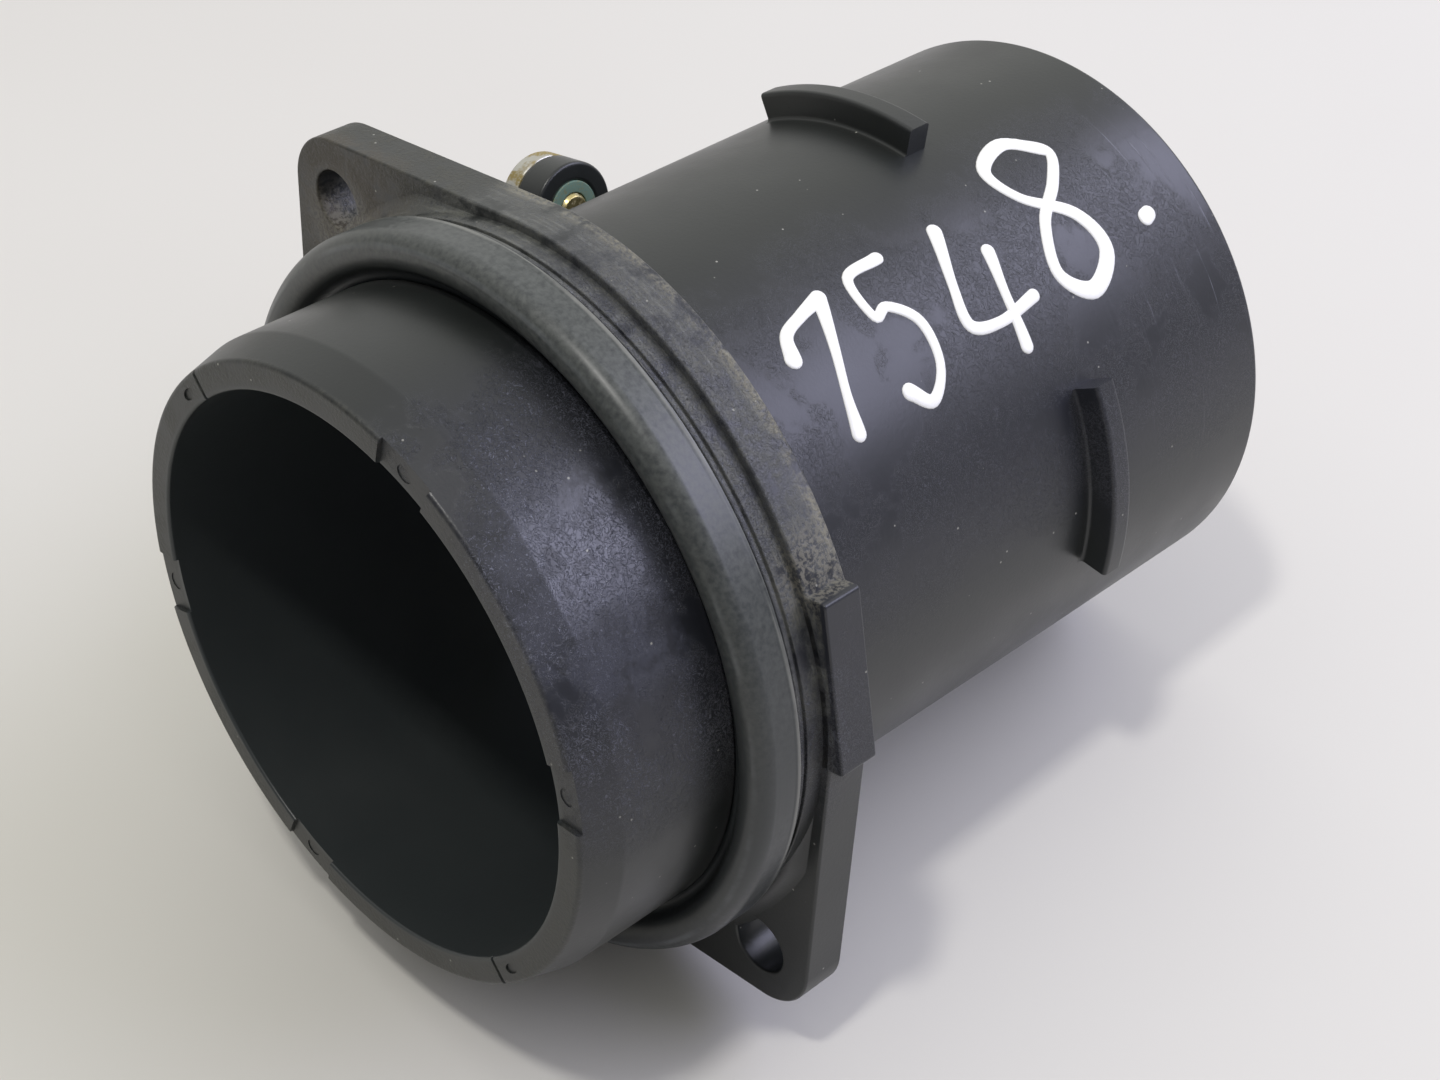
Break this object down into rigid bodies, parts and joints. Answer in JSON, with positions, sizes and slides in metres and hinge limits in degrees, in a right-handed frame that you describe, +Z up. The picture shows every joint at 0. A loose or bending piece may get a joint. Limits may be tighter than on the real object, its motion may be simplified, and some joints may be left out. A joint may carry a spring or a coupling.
{
  "type": "mass airflow sensor",
  "caption": "Round moulded air duct with a sealed spigot, an eared flange and hose stops, carrying a screwed-on plug-in hot-film airflow sensor module.",
  "frame": {"origin": "on the duct's axis, in the plane of the flange's mounting face", "axes": "+Y along the duct, from the spigot towards the hose end; +Z up as the part lies on a bench; +X towards the locating key's side"},
  "size_m": [0.1001, 0.1075, 0.085],
  "materials": {
    "housing_plastic": "satin moulded, glass filled",
    "seal_rubber": "matt",
    "insert_brass": "dull, tarnished",
    "bushing_steel": "zinc plated",
    "screw_steel": "yellow zinc plated",
    "module_plastic": "satin moulded",
    "neck_rubber": "matt",
    "sealant_silicone": "matt",
    "cover_plastic": "satin moulded",
    "channel_plastic": "satin moulded",
    "base_aluminium": "rolled",
    "board_laminate": "solder resist",
    "chip_epoxy": "moulded epoxy",
    "component_ceramic": "fired",
    "pin_tin": "tin plated",
    "wire_aluminium": "drawn",
    "carrier_ceramic": "fired",
    "element_silicon": "polished",
    "bead_glass": "fused glass"
  },
  "bodies": {
    "root": {"duct_housing": "housing_plastic", "seal_ring": "seal_rubber", "screw_inserts": "insert_brass", "flange_bushings": "bushing_steel", "sensor_screws": "screw_steel", "sensor_body": "module_plastic", "neck_seal": "neck_rubber", "tray_sealant": "sealant_silicone", "tray_cover": "cover_plastic", "channel_cover": "channel_plastic", "terminal_pins": "pin_tin", "base_plate": "base_aluminium", "circuit_board": "board_laminate", "control_chip": "chip_epoxy", "output_stage": "chip_epoxy", "board_capacitors": "component_ceramic", "board_resistors": "component_ceramic", "bond_wires": "wire_aluminium", "chip_carrier": "carrier_ceramic", "heated_element": "element_silicon", "thermistor_bead": "bead_glass", "thermistor_leads": "wire_aluminium"}
  },
  "joints": []
}
